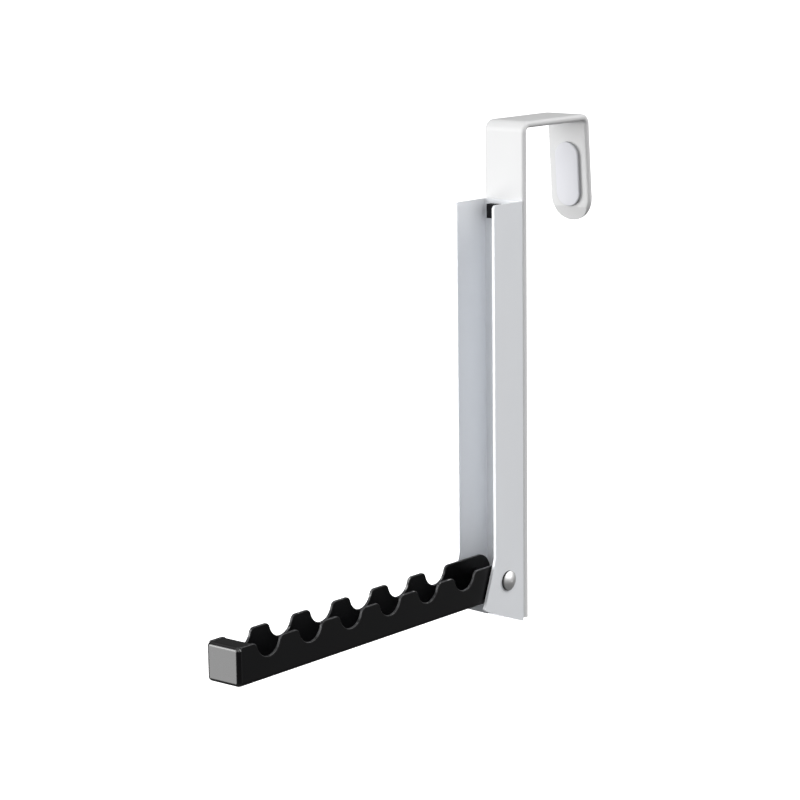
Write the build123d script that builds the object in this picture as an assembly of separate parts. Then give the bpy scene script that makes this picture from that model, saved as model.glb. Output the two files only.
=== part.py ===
"""Over door hook: a strap over the door carries a channel, and a notched arm folds out of the channel."""

import math
import os

from build123d import *

# Frame: X to the right, Y from the room towards the door's far side, Z up.
# The origin is the middle of the strap's underside, where it sits on the top of the door.

# Strap, bent from flat bar
door_gap = 50.0
strap_thickness = 3.5
strap_edge_radius = 1.6
strap_bend_radius = 2.0
strap_end_setback = 1.3
rear_leg_length = 53.1
rear_leg_splay = 4.3
lead_in_length = 7.4
lead_in_depth = 1.6

# Soft pad on the rear leg
pad_length = 33.8
pad_width = 14.6
pad_thickness = 2.0
pad_edge_radius = 0.8
pad_drop = 28.4

# Channel, folded from sheet
channel_drop = 36.4
channel_height = 218.5
side_gap = 0.8
channel_depth = 24.3
channel_sheet = 1.5
channel_bend_radius = 0.3
channel_top_corner = 2.0
flare_height = 37.3
flare_angle = 20.8
flare_blend_radius = 12.0
flare_corner_radius = 1.8

# Arm, folded from sheet
arm_reach = 200.2
arm_width = 20.4
arm_height = 19.0
arm_sheet = 1.5
arm_bend_radius = 0.4
arm_edge_radius = 0.4
arm_heel_radius = 9.3
stop_clearance = 0.3

# Notches along both walls of the arm
notch_count = 6
notch_pitch = 29.3
notch_radius = 8.2
notch_floor = 10.8
notch_lip_radius = 3.0
notch_first = 20.8

# Cap in the arm's end
cap_plate = 2.2
cap_insert = 8.8
cap_insert_clearance = 0.1
cap_recess = 0.5
cap_corner_radius = 2.2
cap_front_radius = 2.0
cap_insert_corner = 0.8

# Pivot rivet and its spacers
pivot_set_forward = 14.3
pivot_height = 24.4
pivot_radius = 3.0
pivot_head_radius = 5.1
pivot_head_rim = 1.1
pivot_head_rise = 1.4
pivot_head_shoulder = 0.7
pivot_clearance = 0.05
washer_radius = 6.0
washer_clearance = 0.3

# Rivets that hold the channel to the strap
web_rivet_heights = {"web_rivet_lower": 85.4, "web_rivet_upper": 175.1}
web_rivet_radius = 2.0
web_rivet_head_radius = 4.0
web_rivet_head_rim = 0.4
web_rivet_head_rise = 1.2
web_rivet_sink_radius = 3.6
web_rivet_sink_depth = 1.6
web_rivet_clearance = 0.05

# Catch block that the folded arm comes to rest on
catch_side_gap = 1.2
catch_height = 7.2
catch_drop = 2.2
catch_edge_radius = 0.4
catch_clearance = 0.3

# Places that several pieces share
channel_width = arm_width + 2 * (side_gap + channel_sheet)
strap_width = channel_width
strap_front = -(door_gap / 2 + strap_thickness)
strap_middle = strap_thickness / 2
web_face = strap_front - channel_sheet
channel_top = -channel_drop
channel_bottom = channel_top - channel_height
channel_inside = channel_width / 2 - channel_sheet
pivot_y = strap_front - pivot_set_forward
pivot_z = channel_bottom + pivot_height
arm_inside = arm_width / 2 - arm_sheet
arm_end = arm_reach - cap_plate
arm_heel = pivot_set_forward - channel_sheet - stop_clearance
splay = math.radians(rear_leg_splay)

# The rear leg's own plane: along the leg, then square to its inner face, away from the door
leg_plane = Plane(
    origin=(0, door_gap / 2, 0),
    x_dir=(0, math.sin(splay), -math.cos(splay)),
    z_dir=(1, 0, 0),
)


def nearest_corner(face, x, y):
    """The corner of a flat outline that lies nearest to a point."""
    return face.vertices().sort_by_distance((x, y, 0))[0]


def u_section(width, depth, sheet, bend_radius):
    """A folded U in its own plane: the web's outer face on y = 0, the open side towards -y."""
    outer = Rectangle(width, depth, align=(Align.CENTER, Align.MAX))
    outer_corners = [nearest_corner(outer, side * width / 2, 0) for side in (-1, 1)]
    outer = fillet(outer_corners, bend_radius + sheet)
    hollow_width = width - 2 * sheet
    hollow = Pos(0, -sheet) * Rectangle(hollow_width, depth, align=(Align.CENTER, Align.MAX))
    hollow_corners = [nearest_corner(hollow, side * hollow_width / 2, -sheet) for side in (-1, 1)]
    hollow = fillet(hollow_corners, bend_radius)
    return outer - hollow


def web_rivet_solid(grow=0.0):
    """A rivet along Y through web and strap, tail flush in the strap's back; grown, it cuts its own hole."""
    shank = web_rivet_radius + grow
    sink = web_rivet_sink_radius + grow
    back = strap_front + strap_thickness
    head_edge = web_face - web_rivet_head_rim
    with BuildSketch(Plane.XY) as half:
        with BuildLine():
            apex = (0, head_edge - web_rivet_head_rise)
            rim = (web_rivet_head_radius, head_edge)
            dome = (web_rivet_head_radius ** 2 + web_rivet_head_rise ** 2) / (2 * web_rivet_head_rise)
            RadiusArc(apex, rim, -dome)
            Polyline(
                rim,
                (web_rivet_head_radius, web_face),
                (shank, web_face),
                (shank, back - web_rivet_sink_depth),
                (sink, back),
                (0, back),
                apex,
            )
        make_face()
    return revolve(half.sketch, axis=Axis.Y)


def hanger_strap():
    """Flat bar with rounded edges, bent over the door; the rear leg splays and ends round."""
    centre_radius = strap_bend_radius + strap_middle
    front_y = strap_front + strap_middle
    front_end = (front_y, channel_bottom + strap_end_setback)
    rear_centre = leg_plane.from_local_coords((0, strap_middle, 0))
    slope = math.tan(splay)
    rear_corner_y = rear_centre.Y - slope * (strap_middle - rear_centre.Z)
    straight = rear_leg_length - strap_width / 2
    leg_end = leg_plane.from_local_coords((straight, strap_middle, 0))
    with BuildLine(Plane.YZ) as route:
        FilletPolyline(
            front_end,
            (front_y, strap_middle),
            (rear_corner_y, strap_middle),
            (leg_end.Y, leg_end.Z),
            radius=centre_radius,
        )
    section = Plane(origin=(0, *front_end), z_dir=(0, 0, 1)) * RectangleRounded(
        strap_width, strap_thickness, strap_edge_radius
    )
    bar = sweep(section, path=route.wires()[0])

    half = RectangleRounded(strap_width, strap_thickness, strap_edge_radius)
    half = half & Rectangle(strap_width, strap_thickness, align=(Align.MIN, Align.CENTER))
    across_leg = Plane(origin=leg_end, x_dir=(1, 0, 0), z_dir=-leg_plane.x_dir)
    turn = Axis(leg_end, leg_plane.y_dir)
    end = revolve(across_leg * half, axis=turn, revolution_arc=180)
    bar = bar + end

    run_out = 2.0
    with BuildSketch(leg_plane) as wedge:
        Polygon(
            (rear_leg_length - lead_in_length, 0),
            (rear_leg_length + run_out, lead_in_depth * (1 + run_out / lead_in_length)),
            (rear_leg_length + run_out, -run_out),
            (rear_leg_length - lead_in_length, -run_out),
            align=None,
        )
    bar = bar - extrude(wedge.sketch, amount=strap_width / 2, both=True)

    for height in web_rivet_heights.values():
        bar = bar - Pos(0, 0, channel_bottom + height) * web_rivet_solid(web_rivet_clearance)
    return bar


def door_pad():
    """Soft pad with round ends, raised on the rear leg's inner face."""
    centre = leg_plane.from_local_coords((pad_drop, 0, 0))
    seat = Plane(origin=centre, x_dir=leg_plane.x_dir, z_dir=-leg_plane.y_dir)
    pad = extrude(seat * SlotOverall(pad_length, pad_width), amount=pad_thickness)
    rim = pad.faces().sort_by(Axis(centre, seat.z_dir))[-1].edges()
    return fillet(rim, pad_edge_radius)


def channel():
    """Folded sheet channel: web on the strap, flanges forward, flaring towards the slanted foot."""
    tilt = math.radians(flare_angle)
    reach = (channel_depth + flare_height * math.tan(tilt)) * math.cos(tilt) ** 2
    reach += channel_sheet * math.sin(tilt) ** 2
    rise = (reach - channel_sheet) * math.tan(tilt)
    section = u_section(channel_width, reach, channel_sheet, channel_bend_radius)
    blank = extrude(Plane(origin=(0, strap_front, channel_bottom)) * section, amount=channel_height)

    outline = Polygon(
        (0, 0),
        (0, channel_height),
        (-channel_depth, channel_height),
        (-channel_depth, flare_height),
        (-reach, rise),
        (-channel_sheet, 0),
        align=None,
    )
    outline = fillet(nearest_corner(outline, -channel_depth, channel_height), channel_top_corner)
    outline = fillet(nearest_corner(outline, -channel_depth, flare_height), flare_blend_radius)
    outline = fillet(nearest_corner(outline, -reach, rise), flare_corner_radius)
    side = Plane(origin=(0, strap_front, channel_bottom), x_dir=(0, 1, 0), z_dir=(1, 0, 0))
    body = blank & extrude(side * outline, amount=channel_width, both=True)

    bore = Cylinder(pivot_radius + pivot_clearance, 2 * channel_width, rotation=(0, 90, 0))
    body = body - Pos(0, pivot_y, pivot_z) * bore
    web_bore = Cylinder(web_rivet_radius + web_rivet_clearance, 4 * channel_sheet, rotation=(90, 0, 0))
    for height in web_rivet_heights.values():
        body = body - Pos(0, strap_front, channel_bottom + height) * web_bore
    return body


def catch_block():
    """Small block on the web near its top: the folded arm's cap comes to rest on it."""
    folded_cap = pivot_y + arm_height / 2 - cap_recess
    thickness = web_face - folded_cap - catch_clearance
    width = 2 * (arm_inside - catch_side_gap)
    block = Box(width, thickness, catch_height, align=(Align.CENTER, Align.MAX, Align.MAX))
    block = fillet(block.faces().sort_by(Axis.Y)[0].edges(), catch_edge_radius)
    return Pos(0, web_face, channel_top - catch_drop) * block


def arm():
    """Folded sheet arm, open above, with round notches; its heel meets the web as a stop when open."""
    half_height = arm_height / 2
    outline = Polygon(
        (-arm_end, -half_height),
        (-arm_end, half_height),
        (arm_heel, half_height),
        (arm_heel, -half_height),
        align=None,
    )
    outline = fillet(nearest_corner(outline, arm_heel, half_height), arm_heel_radius)
    notch_y = notch_floor + notch_radius - half_height
    half_mouth = math.sqrt(notch_radius ** 2 - (half_height - notch_y) ** 2)
    for index in range(notch_count):
        notch_x = notch_first + index * notch_pitch - arm_reach
        outline = outline - Pos(notch_x, notch_y) * Circle(notch_radius)
        lips = [nearest_corner(outline, notch_x + side * half_mouth, half_height) for side in (-1, 1)]
        outline = fillet(lips, notch_lip_radius)

    side_plane = Plane(origin=(0, pivot_y, pivot_z), x_dir=(0, 1, 0), z_dir=(1, 0, 0))
    walls = extrude(side_plane * outline, amount=arm_width, both=True)
    section = u_section(arm_width, arm_height, arm_sheet, arm_bend_radius)
    tip = Plane(
        origin=(0, pivot_y - arm_end, pivot_z - half_height), x_dir=(1, 0, 0), z_dir=(0, 1, 0)
    )
    body = extrude(tip * section, amount=arm_end + arm_heel) & walls

    tip_y = pivot_y - arm_end
    heel_y = pivot_y + arm_heel
    above_bend = pivot_z - half_height + arm_bend_radius + arm_sheet

    def is_rim(edge):
        """True on the cut edges of the walls and of the heel, but not at the tip, where the cap sits."""
        middle = edge.center()
        span = edge.bounding_box().size
        on_heel = span.Y < 1e-4 and abs(middle.Y - heel_y) < 1e-3
        on_wall = span.X < 1e-4 and middle.Z > above_bend + 1e-3
        return (on_wall or on_heel) and abs(middle.Y - tip_y) > 1e-3

    body = fillet(body.edges().filter_by(is_rim), arm_edge_radius)

    bore = Cylinder(pivot_radius + pivot_clearance, 2 * arm_width, rotation=(0, 90, 0))
    return body - Pos(0, pivot_y, pivot_z) * bore


def end_cap():
    """Moulded plug: a rounded plate over the arm's end and an insert between its walls."""
    plate_plane = Plane(origin=(0, pivot_y - arm_end, pivot_z), x_dir=(1, 0, 0), z_dir=(0, -1, 0))
    plate = extrude(
        plate_plane * RectangleRounded(arm_width, arm_height, cap_corner_radius), amount=cap_plate
    )
    plate = fillet(plate.faces().sort_by(Axis.Y)[0].edges(), cap_front_radius)
    insert_width = arm_width - 2 * arm_sheet - 2 * cap_insert_clearance
    insert_height = arm_height - arm_sheet - cap_insert_clearance - cap_recess
    insert = Box(insert_width, cap_insert, insert_height, align=(Align.CENTER, Align.MIN, Align.MAX))
    lower_edges = insert.edges().filter_by(Axis.Y).group_by(Axis.Z)[0]
    insert = fillet(lower_edges, cap_insert_corner)
    return plate + Pos(0, pivot_y - arm_end, pivot_z + arm_height / 2 - cap_recess) * insert


def pivot_rivet():
    """Rivet across flanges and arm, with a low domed head and a rounded shoulder at each end."""
    seat = channel_width / 2
    rim = seat + pivot_head_rim
    apex = rim + pivot_head_rise
    dome = (pivot_head_radius ** 2 + pivot_head_rise ** 2) / (2 * pivot_head_rise)
    with BuildSketch(Plane.XY) as half:
        with BuildLine():
            RadiusArc((-apex, 0), (-rim, pivot_head_radius), dome)
            Polyline(
                (-rim, pivot_head_radius),
                (-seat, pivot_head_radius),
                (-seat, pivot_radius),
                (seat, pivot_radius),
                (seat, pivot_head_radius),
                (rim, pivot_head_radius),
            )
            RadiusArc((rim, pivot_head_radius), (apex, 0), dome)
            Line((apex, 0), (-apex, 0))
        make_face()
    shoulders = [nearest_corner(half.sketch, side * rim, pivot_head_radius) for side in (-1, 1)]
    profile = fillet(shoulders, pivot_head_shoulder)
    return Pos(0, pivot_y, pivot_z) * revolve(profile, axis=Axis.X)


def spacer_washer(side):
    """Flat washer on the rivet that fills the gap between a flange and the arm's wall."""
    thickness = side_gap - washer_clearance
    ring = Circle(washer_radius) - Circle(pivot_radius + pivot_clearance)
    seat = Plane(origin=(side * channel_inside, pivot_y, pivot_z), z_dir=(-side, 0, 0))
    return extrude(seat * ring, amount=thickness)


def parts():
    """Every piece by its node's name."""
    pieces = {
        "hanger_strap": hanger_strap(),
        "door_pad": door_pad(),
        "channel": channel(),
        "catch_block": catch_block(),
        "arm": arm(),
        "end_cap": end_cap(),
        "pivot_rivet": pivot_rivet(),
        "spacer_washer_left": spacer_washer(-1),
        "spacer_washer_right": spacer_washer(1),
    }
    for name, height in web_rivet_heights.items():
        pieces[name] = Pos(0, 0, channel_bottom + height) * web_rivet_solid()
    return pieces


os.makedirs("parts", exist_ok=True)
for node, shape in parts().items():
    export_step(shape, f"parts/{node}.step")
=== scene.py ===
import bmesh
import bpy
import math
from mathutils import Matrix, Vector


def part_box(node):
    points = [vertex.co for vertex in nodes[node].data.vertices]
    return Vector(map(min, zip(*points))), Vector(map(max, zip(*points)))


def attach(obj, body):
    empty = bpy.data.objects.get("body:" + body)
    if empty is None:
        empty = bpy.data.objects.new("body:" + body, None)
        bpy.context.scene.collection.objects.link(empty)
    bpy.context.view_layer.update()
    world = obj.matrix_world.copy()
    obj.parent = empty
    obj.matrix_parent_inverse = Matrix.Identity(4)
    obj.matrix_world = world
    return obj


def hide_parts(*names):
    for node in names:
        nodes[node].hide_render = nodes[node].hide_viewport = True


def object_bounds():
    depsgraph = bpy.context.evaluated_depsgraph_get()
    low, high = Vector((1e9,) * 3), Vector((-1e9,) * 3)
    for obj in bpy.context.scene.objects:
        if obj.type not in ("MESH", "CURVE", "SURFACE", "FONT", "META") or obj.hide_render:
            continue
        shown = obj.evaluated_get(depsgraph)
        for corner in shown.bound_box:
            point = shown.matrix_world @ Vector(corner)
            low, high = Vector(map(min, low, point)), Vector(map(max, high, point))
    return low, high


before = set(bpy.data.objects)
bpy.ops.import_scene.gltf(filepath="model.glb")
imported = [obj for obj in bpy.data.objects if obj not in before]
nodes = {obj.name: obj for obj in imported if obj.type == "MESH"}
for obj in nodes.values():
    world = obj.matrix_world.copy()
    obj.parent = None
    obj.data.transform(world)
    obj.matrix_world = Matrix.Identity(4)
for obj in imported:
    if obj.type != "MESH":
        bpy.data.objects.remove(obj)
cad_low, cad_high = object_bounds()


# The room: a plain pale table well below the hanging part, with a pale backdrop all round, as for a
# catalogue picture. Both are there for the picture only, and neither lights the part nor shades it.
# Its lamps are soft and round. The strongest stand in front on the left and high behind on the right.
scene = bpy.context.scene
floor_drop = 0.16
floor_side = 30
floor_light = 0.75
backdrop_radius = 14
backdrop_light = 1.0
bpy.ops.object.select_all(action="DESELECT")
bpy.ops.mesh.primitive_plane_add(size=floor_side, location=(0, 0, cad_low.z - floor_drop))
floor = bpy.context.active_object
floor.name = "pale_floor"
bpy.ops.mesh.primitive_uv_sphere_add(segments=48, ring_count=24, radius=backdrop_radius)
backdrop = bpy.context.active_object
backdrop.name = "pale_backdrop"


def start_material(name):
    """A new material with its own nodes."""
    material = bpy.data.materials.new(name)
    material.use_nodes = True
    return material


def shader_of(material):
    """The node that holds a material's colour, gloss and metal."""
    return material.node_tree.nodes["Principled BSDF"]


for surface, own_light in ((floor, floor_light), (backdrop, backdrop_light)):
    surface.visible_glossy = False
    surface.visible_diffuse = False
    surface.visible_shadow = False
    card = start_material(surface.name)
    card.cycles.emission_sampling = "NONE"
    card_shader = shader_of(card)
    card_shader.inputs["Base Color"].default_value = (0.92, 0.92, 0.92, 1)
    card_shader.inputs["Roughness"].default_value = 0.9
    card_shader.inputs["Specular IOR Level"].default_value = 0.0
    card_shader.inputs["Emission Color"].default_value = (1, 1, 1, 1)
    card_shader.inputs["Emission Strength"].default_value = own_light
    surface.data.materials.append(card)

world = bpy.data.worlds.new("studio")
world.use_nodes = True
scene.world = world
room_tree = world.node_tree
sky = room_tree.nodes["Background"]
sky.inputs["Color"].default_value = (1, 1, 1, 1)
direction = room_tree.nodes.new("ShaderNodeTexCoord").outputs["Generated"]


def calculate(tree, operation, first, second=None):
    """The result of one sum in a material or in the room's light, on one value or on two."""
    result = tree.nodes.new("ShaderNodeMath")
    result.operation = operation
    tree.links.new(first, result.inputs[0])
    if second is not None:
        tree.links.new(second, result.inputs[1])
    return result.outputs["Value"]


def work_out(tree, operation, place, fixed=(0.0, 0.0, 0.0)):
    """The same for a place or a direction, with a fixed one beside it."""
    result = tree.nodes.new("ShaderNodeVectorMath")
    result.operation = operation
    result.inputs[1].default_value = fixed
    tree.links.new(place, result.inputs[0])
    return result.outputs["Value" if operation in ("DOT_PRODUCT", "LENGTH") else "Vector"]


def ramp(tree, value, start=0.0, end=1.0, low=0.0, high=1.0, bend="LINEAR"):
    """Goes from low to high as a value goes from a start to an end."""
    result = tree.nodes.new("ShaderNodeMapRange")
    result.interpolation_type = bend
    result.inputs["From Min"].default_value = start
    result.inputs["From Max"].default_value = end
    result.inputs["To Min"].default_value = low
    result.inputs["To Max"].default_value = high
    tree.links.new(value, result.inputs["Value"])
    return result.outputs["Result"]


def glow(towards, full_angle, dark_angle, strength):
    """A soft round light in one direction, full inside one angle from it and gone outside the other."""
    nearness = work_out(room_tree, "DOT_PRODUCT", direction, Vector(towards).normalized())
    dark_from = math.cos(math.radians(dark_angle))
    full_from = math.cos(math.radians(full_angle))
    return ramp(room_tree, nearness, dark_from, full_from, high=strength, bend="SMOOTHSTEP")


key_lamp = glow((-0.38, -0.89, 0.25), full_angle=14, dark_angle=34, strength=2.85)
low_panel = glow((-0.66, -0.73, -0.16), full_angle=13, dark_angle=24, strength=3.2)
small_lamp = glow((-0.63, -0.75, 0.19), full_angle=7, dark_angle=15, strength=3.6)
fill_lamp = glow((0.60, -0.60, 0.50), full_angle=12, dark_angle=36, strength=1.4)
side_lamp = glow((0.92, -0.10, 0.35), full_angle=12, dark_angle=36, strength=0.35)
rear_lamp = glow((0.70, 0.50, 0.50), full_angle=12, dark_angle=36, strength=3.05)
top_lamp = glow((0.0, 0.0, 1.0), full_angle=20, dark_angle=60, strength=0.6)
back_wall = glow((0.50, 0.85, 0.08), full_angle=14, dark_angle=36, strength=0.22)
far_wall = glow((-0.63, 0.75, 0.19), full_angle=14, dark_angle=34, strength=0.09)
table_glow = glow((0.0, 0.0, -1.0), full_angle=30, dark_angle=90, strength=0.14)
other_lamps = (low_panel, small_lamp, fill_lamp, side_lamp, rear_lamp, top_lamp)
dim_glows = (back_wall, far_wall, table_glow)
room_light = key_lamp
for lamp in other_lamps + dim_glows:
    room_light = calculate(room_tree, "ADD", room_light, lamp)
room_tree.links.new(room_light, sky.inputs["Strength"])


# The camera: a long lens in front of the part, to its right and a little above it, as in the
# photograph. Its place and turn put the bends, notches and rivet where the photograph has them.
yaw = math.radians(39.71)
pitch = math.radians(10.94)
roll = math.radians(-0.695)
looked_at = Vector((0.0, -0.0285, -0.13556))
camera_left = 0.05383
camera_down = 0.00423
camera_back = 1.38675
camera_data = bpy.data.cameras.new("camera")
camera_data.sensor_width = 36.0
camera_data.lens = 121.5
camera_data.clip_start = 0.05
camera_data.clip_end = 60.0
camera = bpy.data.objects.new("camera", camera_data)
scene.collection.objects.link(camera)
back = Vector((math.sin(yaw) * math.cos(pitch), -math.cos(yaw) * math.cos(pitch), math.sin(pitch)))
level_right = Vector((math.cos(yaw), math.sin(yaw), 0.0))
level_up = back.cross(level_right)
right = level_right * math.cos(roll) + level_up * math.sin(roll)
up = level_up * math.cos(roll) - level_right * math.sin(roll)
camera_place = looked_at - right * camera_left - up * camera_down + back * camera_back
camera_turn = Matrix((right, up, back)).transposed()
camera.matrix_world = Matrix.Translation(camera_place) @ camera_turn.to_4x4()
scene.camera = camera
scene.view_settings.view_transform = "Standard"
scene.view_settings.look = "None"


# The hanger strap: flat steel bar with rolled edges, bent over the door and coated white.
# The baked coat is smooth and satin, with a faint orange peel that only shows in reflections.
mix_factor = 0
mix_first = 6
mix_second = 7
mixed_colour = 2


def on_piece(tree):
    """The place of each point of a piece, in the piece's own frame."""
    return tree.nodes.new("ShaderNodeTexCoord").outputs["Object"]


def cloudy(tree, scale, detail):
    """An uneven pattern all over a piece, of one fineness."""
    pattern = tree.nodes.new("ShaderNodeTexNoise")
    pattern.inputs["Scale"].default_value = scale
    pattern.inputs["Detail"].default_value = detail
    tree.links.new(on_piece(tree), pattern.inputs["Vector"])
    return pattern.outputs["Fac"]


def coat(name, colour, roughness, peel, tint=0.02, specular=0.5):
    """A finish with a little variation of colour and gloss, and a fine uneven surface."""
    patch_scale = 38.0
    grain_scale = 900.0
    grain_depth = 0.0001
    gloss_spread = 0.04
    material = start_material(name)
    tree = material.node_tree
    shader = shader_of(material)
    shader.inputs["Specular IOR Level"].default_value = specular
    patches = cloudy(tree, patch_scale, detail=4.0)
    shade = tree.nodes.new("ShaderNodeMix")
    shade.data_type = "RGBA"
    shade.inputs[mix_first].default_value = (*[part * (1 - tint) for part in colour], 1)
    shade.inputs[mix_second].default_value = (*[min(1.0, part * (1 + tint)) for part in colour], 1)
    tree.links.new(patches, shade.inputs[mix_factor])
    tree.links.new(shade.outputs[mixed_colour], shader.inputs["Base Color"])
    gloss = ramp(tree, patches, low=roughness - gloss_spread, high=roughness + gloss_spread)
    tree.links.new(gloss, shader.inputs["Roughness"])
    bump = tree.nodes.new("ShaderNodeBump")
    bump.inputs["Strength"].default_value = peel
    bump.inputs["Distance"].default_value = grain_depth
    tree.links.new(cloudy(tree, grain_scale, detail=2.0), bump.inputs["Height"])
    tree.links.new(bump.outputs["Normal"], shader.inputs["Normal"])
    return material


def dress(piece, material):
    """Puts a finish on a piece whose shape is already right."""
    nodes[piece].material_slots[0].material = material


white_coat = coat("white_coat", (0.715, 0.717, 0.72), roughness=0.42, peel=0.12)
dress("hanger_strap", white_coat)


# The door pad: a firm moulded pad of foam rubber with round ends, stuck to the rear leg where the
# leg meets the door. Its slightly crowned face is smooth and pale, and the pale colour rolls over
# the rim. The side beyond carries painted shade, a darker grey.
leg_splay = math.radians(4.3)
pad_rim_roll = 0.0007
pad_rim_steps = 6
pad_rim_points = 98
pad_crown = 0.00018
pad_insets = (0.0012, 0.0016, 0.0018)
pad_smooth_angle = math.radians(30)
pad_side_shade_grey = (0.45, 0.455, 0.475)
hair = 1e-6
lean = Matrix.Rotation(-leg_splay, 3, "X")
upright = [lean @ point.co for point in nodes["door_pad"].data.vertices]
pad_low = Vector([min(place[axis] for place in upright) for axis in range(3)])
pad_high = Vector([max(place[axis] for place in upright) for axis in range(3)])
pad_middle = (pad_low + pad_high) / 2
pad_wide = pad_high.x - pad_low.x
pad_straight = pad_high.z - pad_low.z - pad_wide
pad_thick = pad_high.y - pad_low.y
bpy.ops.object.select_all(action="DESELECT")
bpy.ops.mesh.primitive_circle_add(
    vertices=pad_rim_points,
    radius=pad_wide / 2,
    fill_type="NGON",
    location=(pad_middle.x, pad_high.y, pad_middle.z),
    rotation=(math.radians(90), 0, 0),
)
pad = bpy.context.active_object
pad.name = "cushioned_door_pad"
bpy.ops.object.transform_apply(location=True, rotation=True, scale=True)
bpy.ops.object.mode_set(mode="EDIT")


def pick_points(piece, wanted):
    """Selects the points that pass a test on their place, and what lies wholly between them."""
    bpy.ops.mesh.select_mode(type="VERT")
    bpy.ops.mesh.select_all(action="DESELECT")
    shape = bmesh.from_edit_mesh(piece.data)
    for point in shape.verts:
        point.select = wanted(point.co)
    shape.select_flush(True)
    bmesh.update_edit_mesh(piece.data)


for side in (-1, 1):
    pick_points(pad, lambda place: (place.z - pad_middle.z) * side > 0)
    bpy.ops.transform.translate(value=(0, 0, side * pad_straight / 2))
bpy.ops.mesh.select_all(action="SELECT")
bpy.ops.mesh.extrude_region_move(TRANSFORM_OT_translate={"value": (0, -pad_thick + pad_crown, 0)})
bpy.ops.mesh.bevel(offset=pad_rim_roll, segments=pad_rim_steps, affect="EDGES")
face_y = pad_low.y + pad_crown
pick_points(pad, lambda place: place.y < face_y + hair)
left_to_rise = pad_crown
for inset in pad_insets:
    rise = left_to_rise if inset == pad_insets[-1] else left_to_rise / 2
    bpy.ops.mesh.inset(thickness=inset, depth=rise)
    left_to_rise -= rise
bpy.ops.mesh.select_all(action="SELECT")
bpy.ops.mesh.normals_make_consistent(inside=False)
bpy.ops.object.mode_set(mode="OBJECT")
pad.rotation_euler.x = leg_splay
bpy.ops.object.transform_apply(location=False, rotation=True, scale=False)
bpy.ops.object.shade_smooth_by_angle(angle=pad_smooth_angle)
pad_rubber = coat("pad_rubber", (0.77, 0.775, 0.815), roughness=0.6, peel=0.3, tint=0.015, specular=0.4)
pad.data.materials.append(pad_rubber)


def blend_in(material, factor, colour):
    """Lays a second colour over a material's own, where a factor between 0 and 1 says."""
    tree = material.node_tree
    colour_in = shader_of(material).inputs["Base Color"]
    over = tree.nodes.new("ShaderNodeMix")
    over.data_type = "RGBA"
    over.inputs[mix_second].default_value = (*colour, 1)
    tree.links.new(colour_in.links[0].from_socket, over.inputs[mix_first])
    tree.links.new(factor, over.inputs[mix_factor])
    tree.links.new(over.outputs[mixed_colour], colour_in)


def distance_along(tree, axis):
    """How far a point of the piece lies along a direction."""
    return work_out(tree, "DOT_PRODUCT", on_piece(tree), axis)


pad_tree = pad_rubber.node_tree
pad_depth = distance_along(pad_tree, (0.0, math.cos(leg_splay), math.sin(leg_splay)))
# Painted shade: the pad's side is painted darker grey than its face, from halfway round the rim.
painted_side_shade = ramp(pad_tree, pad_depth, face_y + pad_rim_roll / 2, face_y + pad_rim_roll)
blend_in(pad_rubber, painted_side_shade, pad_side_shade_grey)
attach(pad, "bracket")
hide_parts("door_pad")


# The channel: folded steel sheet in a silver grey satin coat, riveted to the strap's front leg.
# Its flanges flare towards the foot, where the pivot is. The coat has a little metal in it.
silver_coat = coat("silver_coat", (0.825, 0.843, 0.87), roughness=0.45, peel=0.15)
shader_of(silver_coat).inputs["Metallic"].default_value = 0.12
dress("channel", silver_coat)


# The catch block: a small block of matt black rubber, stuck inside the channel's top.
# The end of the folded arm comes to rest in front of it.
black_rubber = coat(
    "black_rubber", (0.010, 0.010, 0.012), roughness=0.65, peel=0.4, tint=0.1, specular=0.15
)
dress("catch_block", black_rubber)


# The arm: folded steel sheet in a satin black coat, with six notches along both walls. It turns on
# the pivot rivet. The cut edges carry painted highlights: a greyer colour along them, with short
# bright painted glints.
wall_facing = 0.97
edge_facing = 0.75
bottom_bend = -0.2372
above_bend = -0.2362
edge_highlight_grey = (0.09, 0.09, 0.095)
glint_grey = (0.34, 0.34, 0.34)
black_coat = coat(
    "black_coat", (0.002, 0.002, 0.0025), roughness=0.36, peel=0.2, tint=0.1, specular=0.29
)
dress("arm", black_coat)
arm_tree = black_coat.node_tree
facing = arm_tree.nodes.new("ShaderNodeNewGeometry")
facing_parts = arm_tree.nodes.new("ShaderNodeSeparateXYZ")
arm_tree.links.new(facing.outputs["Normal"], facing_parts.inputs[0])
sideways = calculate(arm_tree, "ABSOLUTE", facing_parts.outputs["X"])
off_the_walls = ramp(arm_tree, sideways, wall_facing, edge_facing)
height = distance_along(arm_tree, (0.0, 0.0, 1.0))
off_the_bottom = ramp(arm_tree, height, bottom_bend, above_bend)
cut_edges = calculate(arm_tree, "MULTIPLY", off_the_walls, off_the_bottom)


def edge_bits(scale, start, end):
    """Uneven bits of the cut edges, of a fineness and a share of the whole."""
    bits = ramp(arm_tree, cloudy(arm_tree, scale, detail=3.0), start, end)
    return calculate(arm_tree, "MULTIPLY", cut_edges, bits)


# Painted highlight along the cut edges, and painted glints in short bright bits.
blend_in(black_coat, edge_bits(scale=420.0, start=0.3, end=0.7), edge_highlight_grey)
blend_in(black_coat, edge_bits(scale=260.0, start=0.6, end=0.68), glint_grey)


# The end cap: a glossy black moulded plug in the arm's open end.
# Its plate covers the end of the sheet, and an insert behind it is pushed in between the walls.
cap_plastic = coat(
    "cap_plastic", (0.003, 0.003, 0.0035), roughness=0.2, peel=0.05, tint=0.1, specular=1.0
)
dress("end_cap", cap_plastic)
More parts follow.
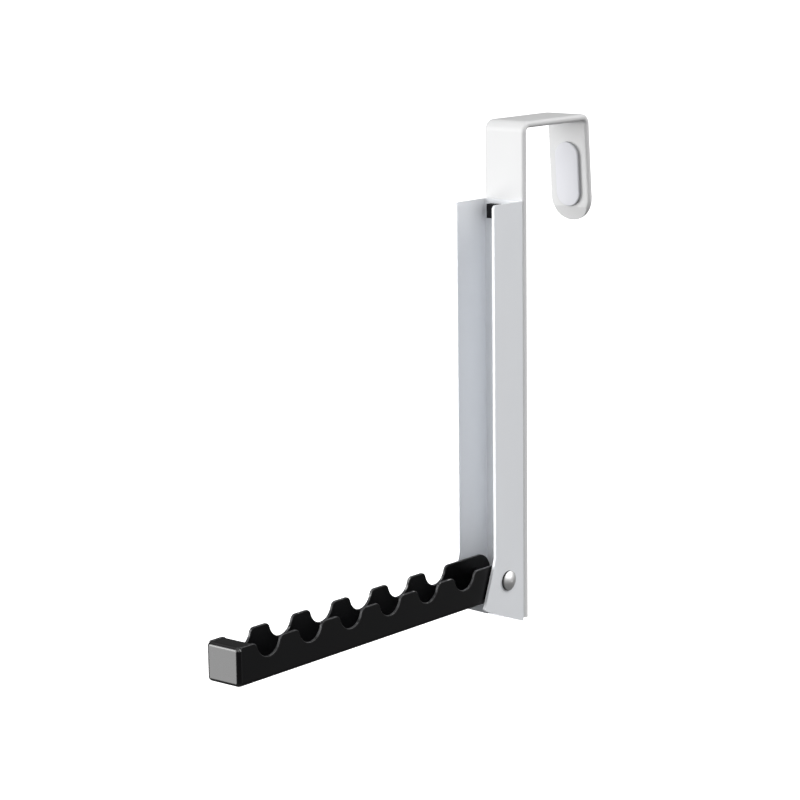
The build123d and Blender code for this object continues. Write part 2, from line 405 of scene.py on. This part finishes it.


# The rivets: turned steel with fine rings on the heads. The pivot goes across the flanges and the
# arm, and two low ones go through the web. The pivot's rims carry painted shade, dark where they
# meet the flanges.
steel_white = (0.92, 0.92, 0.92)
steel_roughness = 0.44
ring_scale = 3200.0
ring_gloss_spread = 0.08
head_from_middle = 0.0134
rim_from_middle = 0.0139
painted_rim_shade = (0.03, 0.03, 0.03)


def turned_steel(rivet, in_plane):
    """Bright steel with fine turning rings about a rivet's axis, which in_plane leaves out."""
    material = coat(rivet + "_steel", steel_white, steel_roughness, peel=0.1, tint=0.06)
    tree = material.node_tree
    shader = shader_of(material)
    shader.inputs["Metallic"].default_value = 1.0
    low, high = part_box(rivet)
    middle = (Vector(low) + Vector(high)) / 2
    from_middle = work_out(tree, "SUBTRACT", on_piece(tree), middle)
    radius = work_out(tree, "LENGTH", work_out(tree, "MULTIPLY", from_middle, in_plane))
    rings = tree.nodes.new("ShaderNodeTexNoise")
    rings.noise_dimensions = "1D"
    rings.inputs["Scale"].default_value = ring_scale
    rings.inputs["Detail"].default_value = 2.0
    tree.links.new(radius, rings.inputs["W"])
    smoothest = steel_roughness - ring_gloss_spread
    roughest = steel_roughness + ring_gloss_spread
    ring_gloss = ramp(tree, rings.outputs["Fac"], low=smoothest, high=roughest)
    tree.links.new(ring_gloss, shader.inputs["Roughness"])
    dress(rivet, material)
    return material


for rivet in ("web_rivet_lower", "web_rivet_upper"):
    turned_steel(rivet, in_plane=(1.0, 0.0, 1.0))
pivot_steel = turned_steel("pivot_rivet", in_plane=(0.0, 1.0, 1.0))
pivot_tree = pivot_steel.node_tree
across = calculate(pivot_tree, "ABSOLUTE", distance_along(pivot_tree, (1.0, 0.0, 0.0)))
# Painted shade on the pivot's rims, next to the flanges.
blend_in(pivot_steel, ramp(pivot_tree, across, rim_from_middle, head_from_middle), painted_rim_shade)


# The spacer washers: thin black plastic rings that keep the arm in the middle of the channel.
# They are slipped over the rivet, one on each side of the arm, before its head is formed.
washer_plastic = coat("washer_plastic", (0.03, 0.03, 0.03), roughness=0.55, peel=0.1, tint=0.1)
for washer in ("spacer_washer_left", "spacer_washer_right"):
    dress(washer, washer_plastic)
